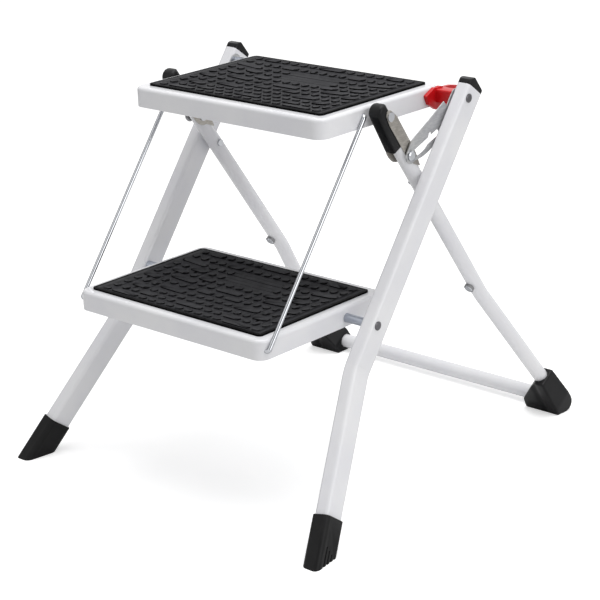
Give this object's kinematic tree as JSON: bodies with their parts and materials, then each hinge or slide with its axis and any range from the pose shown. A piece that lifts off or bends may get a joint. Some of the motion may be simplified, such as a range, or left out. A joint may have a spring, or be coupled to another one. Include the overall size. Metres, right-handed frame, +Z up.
{
  "type": "step stool",
  "caption": "Folding two-step stool with splayed white tube legs, dished steel steps with studded rubber mats, side rods, slotted links and black rubber feet.",
  "frame": {"origin": "on the floor in the middle of the open stool's footprint", "axes": "+Z up, -Y towards the user who climbs, +X to the user's right"},
  "size_m": [0.505, 0.554, 0.4748],
  "materials": {
    "white_steel": "gloss powder coat",
    "black_plastic": "fine grain",
    "black_rubber": "moulded",
    "mat_rubber": "moulded, studded",
    "zinc": "zinc plated",
    "zinc_sheet": "galvanised",
    "chrome": "bright plated",
    "grey_plastic": "smooth",
    "red_plastic": "gloss"
  },
  "bodies": {
    "front_frame": {"front_leg_left": "white_steel", "front_leg_right": "white_steel", "leg_cap_left": "black_plastic", "leg_cap_right": "black_plastic", "front_foot_left": "black_rubber", "front_foot_right": "black_rubber", "upper_axle": "zinc", "lower_axle": "zinc", "upper_spacer": "zinc", "lower_spacers": "zinc"},
    "upper_step": {"top_step": "white_steel", "top_mat": "mat_rubber"},
    "lower_step": {"low_step": "white_steel", "low_mat": "mat_rubber"},
    "rear_frame": {"rear_leg_left": "white_steel", "rear_leg_right": "white_steel", "rear_bar": "white_steel", "rear_boot_left": "black_plastic", "rear_boot_right": "black_plastic", "bracket_left": "zinc_sheet", "bracket_right": "zinc_sheet", "sleeve_left": "black_plastic", "sleeve_right": "black_plastic", "rear_pivot_pins": "chrome", "knee_pins": "chrome", "stop_rivets": "chrome", "buffer_discs": "grey_plastic", "buffer_washers": "chrome"},
    "left_link": {"link_left": "zinc_sheet"},
    "right_link": {"link_right": "zinc_sheet"},
    "left_rod": {"rod_left": "chrome", "rod_clips_left": "zinc"},
    "right_rod": {"rod_right": "chrome", "rod_clips_right": "zinc"},
    "lever": {"lock_lever": "red_plastic"}
  },
  "joints": [
    {"name": "platform_fold", "type": "hinge", "parent": "front_frame", "child": "upper_step", "pos_m": [0, 0.07697, 0.453], "axis": [-1, 0, 0], "range_deg": [0, 100]},
    {"name": "lower_fold", "type": "hinge", "parent": "front_frame", "child": "lower_step", "pos_m": [0, -0.09635, 0.22199], "axis": [-1, 0, 0], "range_deg": [0, 100]},
    {"name": "rear_fold", "type": "hinge", "parent": "upper_step", "child": "rear_frame", "pos_m": [0, -0.04173, 0.452], "axis": [1, 0, 0], "range_deg": [0, 43]},
    {"name": "left_link_turn", "type": "hinge", "parent": "front_frame", "child": "left_link", "pos_m": [0, 0.07697, 0.453], "axis": [-1, 0, 0], "range_deg": [0, 120]},
    {"name": "right_link_turn", "type": "hinge", "parent": "front_frame", "child": "right_link", "pos_m": [0, 0.07697, 0.453], "axis": [-1, 0, 0], "range_deg": [0, 120]},
    {"name": "left_rod_turn", "type": "hinge", "parent": "upper_step", "child": "left_rod", "pos_m": [0, -0.05873, 0.453], "axis": [1, 0, 0], "range_deg": [0, 100]},
    {"name": "right_rod_turn", "type": "hinge", "parent": "upper_step", "child": "right_rod", "pos_m": [0, -0.05873, 0.453], "axis": [1, 0, 0], "range_deg": [0, 100]},
    {"name": "lever_lift", "type": "hinge", "parent": "upper_step", "child": "lever", "pos_m": [0, 0.07697, 0.453], "axis": [-1, 0, 0], "range_deg": [0, 12]}
  ],
  "couplings": [
    {"joint": "lower_fold", "follows": "platform_fold", "ratio": 1},
    {"joint": "rear_fold", "follows": "platform_fold", "ratio": 0.43},
    {"joint": "left_link_turn", "follows": "platform_fold", "ratio": 1.2},
    {"joint": "right_link_turn", "follows": "platform_fold", "ratio": 1.2},
    {"joint": "left_rod_turn", "follows": "platform_fold", "ratio": 1},
    {"joint": "right_rod_turn", "follows": "platform_fold", "ratio": 1}
  ]
}
